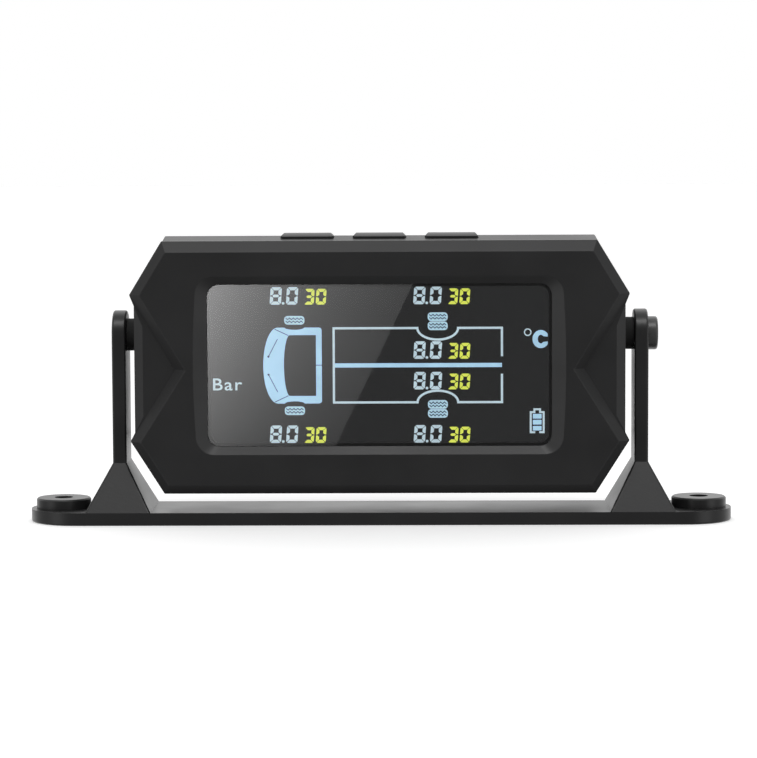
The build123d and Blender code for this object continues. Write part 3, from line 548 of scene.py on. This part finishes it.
# The cab, seen from above with its nose to the left.
CAB_LEFT, CAB_RIGHT = -32.05, -15.9
CAB_HALF = 10.5
CAB_NOSE_X = -28.0
CAB_WALL = 1.6
CAB_SIDE = 2.1
CAB_CORNER = 0.8
ARCH_X = -23.4
ARCH_REACH = 2.7
ARCH_DEPTH = 0.62
SCREEN_EDGE_X = -24.7
SCREEN_EDGE_BOW = 1.65
PANEL_LINE_WIDTH = 0.2


def cab_outline():
    """Bowed nose, square rear corners a little rounded, and a shallow arch over each wheel."""
    right = CAB_RIGHT - CAB_CORNER
    rear = arc((right, CAB_HALF - CAB_CORNER), (CAB_CORNER, CAB_CORNER), 0, 90, 5)
    arch = arc((ARCH_X, CAB_HALF), (ARCH_REACH, ARCH_DEPTH), 0, -180, 10)
    nose = arc((CAB_NOSE_X, 0.0), (CAB_NOSE_X - CAB_LEFT, CAB_HALF), 90, 180, 14)
    upper = rear + arch + nose
    return upper + flipped(upper)


def cab_window():
    """The opening of the cab's roof: straight behind, bowed towards the nose."""
    top = CAB_HALF - CAB_SIDE
    bow = arc((SCREEN_EDGE_X, 0.0), (SCREEN_EDGE_BOW, top), 90, 270, 18)
    return [(CAB_RIGHT - CAB_WALL, -top), (CAB_RIGHT - CAB_WALL, top)] + bow


graphic("cab_outline", [(cab_outline(), (cab_window(),))], SKY_BLUE)

WIPER_START = (-28.1, 7.3)
WIPER_END = (-30.6, 2.5)
SEAM_START = (-28.9, 10.1)
SEAM_END = (-25.1, 8.3)
DOT_RADIUS = 0.3
REAR_SPLIT_Z = 0.1
wiper = ribbon((WIPER_START, WIPER_END), PANEL_LINE_WIDTH)
seam = ribbon((SEAM_START, SEAM_END), PANEL_LINE_WIDTH)
dot = arc(WIPER_END, (DOT_RADIUS, DOT_RADIUS), 0, 340, 17)
rear_split = ribbon(
    ((CAB_RIGHT - CAB_WALL, REAR_SPLIT_Z), (CAB_RIGHT, REAR_SPLIT_Z)), PANEL_LINE_WIDTH
)
cab_marks = [seam, wiper, flipped(seam), flipped(wiper), rear_split]
graphic("cab_lines", [(outline, ()) for outline in cab_marks], UNLIT, raised=1)
graphic("cab_wiper_dots", [(dot, ()), (flipped(dot), ())], UNLIT, raised=2)

# The trailer: an upper and a lower half round a thick middle bar, open behind.
TRAILER_LEFT, TRAILER_RIGHT = -12.6, 33.7
TRAILER_HALF = 10.25
TRAILER_LINE = 0.62
TRAILER_BAR = 0.58
TRAILER_GAP = 2.4
WHEEL_X = 16.05
WHEEL_REACH = 5.6
WHEEL_DEPTH = 3.2


def trailer_half():
    """The upper half's line, from its left end round the wheel arch to the right end."""
    arch = arc((WHEEL_X, TRAILER_HALF), (WHEEL_REACH, WHEEL_DEPTH), 180, 360, 24)
    start = [(TRAILER_LEFT, 0.0), (TRAILER_LEFT, TRAILER_HALF)]
    end = [(TRAILER_RIGHT, TRAILER_HALF), (TRAILER_RIGHT, TRAILER_GAP)]
    return ribbon(start + arch + end, TRAILER_LINE)


middle_bar = [
    (TRAILER_LEFT + TRAILER_LINE / 2, -TRAILER_BAR), (TRAILER_RIGHT, -TRAILER_BAR),
    (TRAILER_RIGHT, TRAILER_BAR), (TRAILER_LEFT + TRAILER_LINE / 2, TRAILER_BAR),
]
graphic("trailer_outline", [(trailer_half(), ()), (flipped(trailer_half()), ())], PALE_BLUE)
graphic("trailer_middle_bar", [(middle_bar, ())], SKY_BLUE)

# Tyres, each with two zigzag treads.
TYRE_HEIGHT = 2.4
TYRE_ROUNDING = 0.95
TREAD_WIDTH = 0.25
TREAD_OFFSET = 0.42
TREAD_SWING = 0.24
TREAD_STEPS = 9


def add_tyre(name, middle_x, middle_z, width):
    half, tall = width / 2, TYRE_HEIGHT / 2
    body = rounded_box(middle_x - half, middle_z - tall, middle_x + half, middle_z + tall, TYRE_ROUNDING)
    graphic(name, [(body, ())], ICE_BLUE)
    treads = []
    for offset in (-TREAD_OFFSET, TREAD_OFFSET):
        reach = half - TREAD_OFFSET
        zigzag = [
            (middle_x - reach + 2 * reach * i / TREAD_STEPS,
             middle_z + offset + TREAD_SWING * (-1) ** i)
            for i in range(TREAD_STEPS + 1)
        ]
        treads.append((ribbon(zigzag, TREAD_WIDTH), ()))
    graphic(f"{name}_treads", treads, DIM_BLUE, raised=1)


CAB_TYRE_Z = 12.5
CAB_TYRE_WIDTH = 5.6
TRAILER_TYRE_ZS = (13.35, 10.85)
TRAILER_TYRE_WIDTH = 5.5
for side_name, side in (("left", 1), ("right", -1)):
    add_tyre(f"cab_tyre_{side_name}", ARCH_X, side * CAB_TYRE_Z, CAB_TYRE_WIDTH)
    for place_name, tyre_z in zip(("outer", "inner"), TRAILER_TYRE_ZS):
        add_tyre(f"trailer_tyre_{side_name}_{place_name}", WHEEL_X, side * tyre_z, TRAILER_TYRE_WIDTH)

# Units: a degree ring with a bold C, and the word for the pressure unit.
RING_PLACE = (40.8, 9.0)
RING_RADII = (1.05, 0.72)
C_PLACE = (44.4, 7.1)
C_RADII = (2.3, 2.5)
C_COUNTER = (0.85, 1.2)
C_OPENING = 35
C_COUNTER_OPENING = 42
C_GAP = 1.3


def ring(centre, outer, inner, steps=32):
    around = 360 * (1 - 1 / steps)
    return arc(centre, (outer, outer), 0, around, steps - 1), (
        arc(centre, (inner, inner), 0, around, steps - 1),
    )


def letter_c():
    """A heavy C: a narrow counter inside a wide oval, with ends cut upright."""
    outer = arc(C_PLACE, C_RADII, C_OPENING, 360 - C_OPENING, 28)
    inner = arc(C_PLACE, C_COUNTER, 360 - C_COUNTER_OPENING, C_COUNTER_OPENING, 28)
    right, middle = outer[0][0], C_PLACE[1]
    return outer + [(right, middle - C_GAP / 2)] + inner + [(right, middle + C_GAP / 2)]


graphic("degree_ring", [ring(RING_PLACE, *RING_RADII)], PALE_BLUE)
graphic("celsius_letter", [(letter_c(), ())], SKY_BLUE)

UNIT_TEXT = "Bar"
UNIT_CAP_HEIGHT = 3.25
UNIT_SPACING = 1.15
UNIT_STRETCH = 1.15
UNIT_LEFT = -46.3
UNIT_BOTTOM = -6.75
UNIT_BOLDNESS = 0.05
FONT_CAP_SHARE = 0.69


def add_unit_text():
    """The generic unit of pressure, in Blender's own font."""
    curve = bpy.data.curves.new("unit_text", "FONT")
    curve.body = UNIT_TEXT
    curve.size = UNIT_CAP_HEIGHT / FONT_CAP_SHARE * MM
    curve.space_character = UNIT_SPACING
    curve.offset = UNIT_BOLDNESS * MM
    curve.extrude = PLATE_THICKNESS / 2
    text = bpy.data.objects.new("unit_text", curve)
    text.location = (
        SCREEN.x + UNIT_LEFT * MM, PANEL_FACE_Y - PLATE_LIFT - PLATE_THICKNESS, SCREEN.z + UNIT_BOTTOM * MM
    )
    text.rotation_euler = (math.pi / 2, 0.0, 0.0)
    text.scale = (UNIT_STRETCH, 1.0, 1.0)
    bpy.context.scene.collection.objects.link(text)
    curve.materials.append(PALE_BLUE)
    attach(text, "display")


add_unit_text()

# The battery gauge: a wall open at the bottom, a terminal and three cells.
BATTERY_X = 43.4
BATTERY_HALF = 2.05
BATTERY_TOP, BATTERY_BOTTOM = -12.8, -18.9
TERMINAL_HALF = 1.05
TERMINAL_TOP = -12.0
BATTERY_LINE = 0.55
BATTERY_FOOT_GAP = 0.55
CELL_HALF = 1.2
CELL_CORNER = 0.1
CELL_SPANS = ((-14.85, -13.55), (-16.5, -15.2), (-18.15, -16.9))


def battery_half(side):
    """One side of the gauge's wall, from the terminal round to the foot."""
    inset = BATTERY_LINE / 2

    def across(distance):
        return BATTERY_X + side * distance

    return ribbon(
        (
            (across(0.0), TERMINAL_TOP - inset), (across(TERMINAL_HALF - inset), TERMINAL_TOP - inset),
            (across(TERMINAL_HALF - inset), BATTERY_TOP - inset),
            (across(BATTERY_HALF - inset), BATTERY_TOP - inset),
            (across(BATTERY_HALF - inset), BATTERY_BOTTOM + inset),
            (across(BATTERY_FOOT_GAP), BATTERY_BOTTOM + inset),
        ),
        BATTERY_LINE,
    )


cells = [
    (rounded_box(BATTERY_X - CELL_HALF, low, BATTERY_X + CELL_HALF, high, CELL_CORNER), ())
    for low, high in CELL_SPANS
]
graphic("battery_wall", [(battery_half(-1), ()), (battery_half(1), ())], PALE_BLUE)
graphic("battery_cells", cells, SKY_BLUE)

# ---- Stage and light ---------------------------------------------------------

FLOOR_RADIUS = 8.0
FLOOR_STEPS = 96
FLOOR_GLOW = 0.32
WORLD_FRONT = 0.25
WORLD_SIDE = 0.85
WORLD_BACK = 1.15
WORLD_ENDS = 0.25
WORLD_TOP = 0.42
WORLD_BELOW = 0.1
WORLD_SEEN = 1.0


def make_floor():
    mesh = bmesh.new()
    bmesh.ops.create_circle(mesh, cap_ends=True, radius=FLOOR_RADIUS, segments=FLOOR_STEPS)
    data = bpy.data.meshes.new("floor")
    mesh.to_mesh(data)
    mesh.free()
    shader = Shader("floor", Base_Color=grey(0.9), Roughness=0.9, Emission_Color=grey(1.0))
    shader.surface.inputs["Specular IOR Level"].default_value = 0.0
    shader.surface.inputs["Emission Strength"].default_value = FLOOR_GLOW
    data.materials.append(shader.material)
    floor = bpy.data.objects.new("floor", data)
    bpy.context.scene.collection.objects.link(floor)
    for ray in ("diffuse", "glossy", "transmission"):
        setattr(floor, f"visible_{ray}", False)


def make_world():
    """A white studio: bright overhead, behind and at both sides, dim in front of the object."""
    world = bpy.data.worlds.new("studio")
    world.use_nodes = True
    bpy.context.scene.world = world
    tree = world.node_tree
    background = tree.nodes["Background"]
    background.inputs["Color"].default_value = grey(1.0)
    new, link = tree.nodes.new, tree.links.new
    axes = new("ShaderNodeSeparateXYZ")
    link(new("ShaderNodeTexCoord").outputs["Generated"], axes.inputs[0])

    def ramp(source, start, end, low, high):
        node = new("ShaderNodeMapRange")
        node.interpolation_type = "SMOOTHSTEP"
        link(source, node.inputs["Value"])
        for name, number in zip(("From Min", "From Max", "To Min", "To Max"), (start, end, low, high)):
            node.inputs[name].default_value = number
        return node.outputs["Result"]

    def combine(operation, *values):
        node = new("ShaderNodeMath")
        node.operation = operation
        for value, socket in zip(values, node.inputs):
            link(value, socket)
        return node.outputs[0]

    sideways = combine("ABSOLUTE", axes.outputs["X"])
    side_lights = combine(
        "MULTIPLY",
        ramp(sideways, start=0.45, end=0.70, low=0.0, high=WORLD_SIDE),
        ramp(axes.outputs["Y"], start=-0.55, end=-0.25, low=1.0, high=0.0),
    )
    strength = ramp(axes.outputs["Y"], start=0.1, end=0.8, low=WORLD_FRONT, high=WORLD_BACK)
    for lobe in (
        side_lights,
        ramp(sideways, start=0.88, end=0.98, low=0.0, high=WORLD_ENDS),
        ramp(axes.outputs["Z"], start=0.35, end=0.85, low=0.0, high=WORLD_TOP),
        ramp(axes.outputs["Z"], start=-0.4, end=-0.9, low=0.0, high=WORLD_BELOW),
    ):
        strength = combine("ADD", strength, lobe)
    path = new("ShaderNodeLightPath")
    seen = new("ShaderNodeMix")
    link(path.outputs["Is Camera Ray"], seen.inputs["Factor"])
    link(strength, seen.inputs["A"])
    seen.inputs["B"].default_value = WORLD_SEEN
    link(seen.outputs["Result"], background.inputs["Strength"])


KEY_SIZE = (0.55, 0.35)
KEY_PLACE = Vector((0.0, -0.50, 0.95))
KEY_AIM = Vector((0.0, 0.0, 0.04))
KEY_POWER = 2.6


def make_key():
    """A large soft lamp above and in front."""
    data = bpy.data.lights.new("key", "AREA")
    data.shape = "RECTANGLE"
    data.size, data.size_y = KEY_SIZE
    data.energy = KEY_POWER
    lamp = bpy.data.objects.new("key", data)
    lamp.location = KEY_PLACE
    lamp.rotation_euler = (KEY_AIM - KEY_PLACE).to_track_quat("-Z", "Y").to_euler()
    bpy.context.scene.collection.objects.link(lamp)


# The lens mirrors a bright window on its left, which ends along a slanted edge.
GLARE_Y = -0.60
GLARE_LEFT = -56.0
GLARE_TOP, GLARE_BOTTOM = 27.0, -27.0
GLARE_EDGE_TOP_X = 11.5
GLARE_EDGE_BOTTOM_X = -14.5
GLARE_STRENGTH = 8.75
GLARE_FAR_SHARE = 0.08
GLARE_LOW_SHARE = 0.22


def mirrored_place(x, z):
    """Where the glare card is crossed by the camera's view of the lens at (x, z) mm, once reflected."""
    place = Vector((SCREEN.x + x * MM, lens_low.y, SCREEN.z + z * MM))
    share = (GLARE_Y - lens_low.y) / (CAMERA_PLACE.y - lens_low.y)
    return Vector((
        place.x + (place.x - CAMERA_PLACE.x) * share, GLARE_Y, place.z + (place.z - CAMERA_PLACE.z) * share
    ))


def make_glare_card():
    """A card that glows only in the lens's reflections, brightest at its top left."""
    corners = (
        (GLARE_LEFT, GLARE_BOTTOM), (GLARE_EDGE_BOTTOM_X, GLARE_BOTTOM),
        (GLARE_EDGE_TOP_X, GLARE_TOP), (GLARE_LEFT, GLARE_TOP),
    )
    data = bpy.data.meshes.new("glare_card")
    data.from_pydata([mirrored_place(x, z) for x, z in corners], [], [(0, 1, 2, 3)])
    shader = Shader("glare_card")
    tree = shader.tree
    axes = shader.add("ShaderNodeSeparateXYZ")
    shader.put(shader.place, axes.inputs[0])
    left = mirrored_place(GLARE_LEFT, 0).x
    right = mirrored_place(GLARE_EDGE_TOP_X, 0).x
    bottom = mirrored_place(0, GLARE_BOTTOM).z
    top = mirrored_place(0, GLARE_TOP).z
    along = shader.spread(axes.outputs["X"], 0.0, 1.0, left, right)
    height = shader.spread(axes.outputs["Z"], GLARE_LOW_SHARE, 1.0, bottom, top)
    strength = shader.math("MULTIPLY", shader.math("POWER", GLARE_FAR_SHARE, along), height)
    glow = shader.add("ShaderNodeEmission")
    shader.put(shader.math("MULTIPLY", strength, GLARE_STRENGTH), glow.inputs["Strength"])
    both = shader.add("ShaderNodeAddShader")
    clear = shader.add("ShaderNodeBsdfTransparent")
    shader.put(glow.outputs[0], both.inputs[0])
    shader.put(clear.outputs[0], both.inputs[1])
    shader.put(both.outputs[0], tree.nodes["Material Output"].inputs["Surface"])
    data.materials.append(shader.material)
    card = bpy.data.objects.new("glare_card", data)
    bpy.context.scene.collection.objects.link(card)
    for ray in ("camera", "diffuse", "transmission", "volume_scatter", "shadow"):
        setattr(card, f"visible_{ray}", False)
    receivers = bpy.data.collections.new("glare_receivers")
    receivers.objects.link(frame["nodes"]["screen_lens"])
    card.light_linking.receiver_collection = receivers


make_floor()
make_world()
make_key()
make_glare_card()
bpy.context.scene.view_settings.view_transform = "Standard"
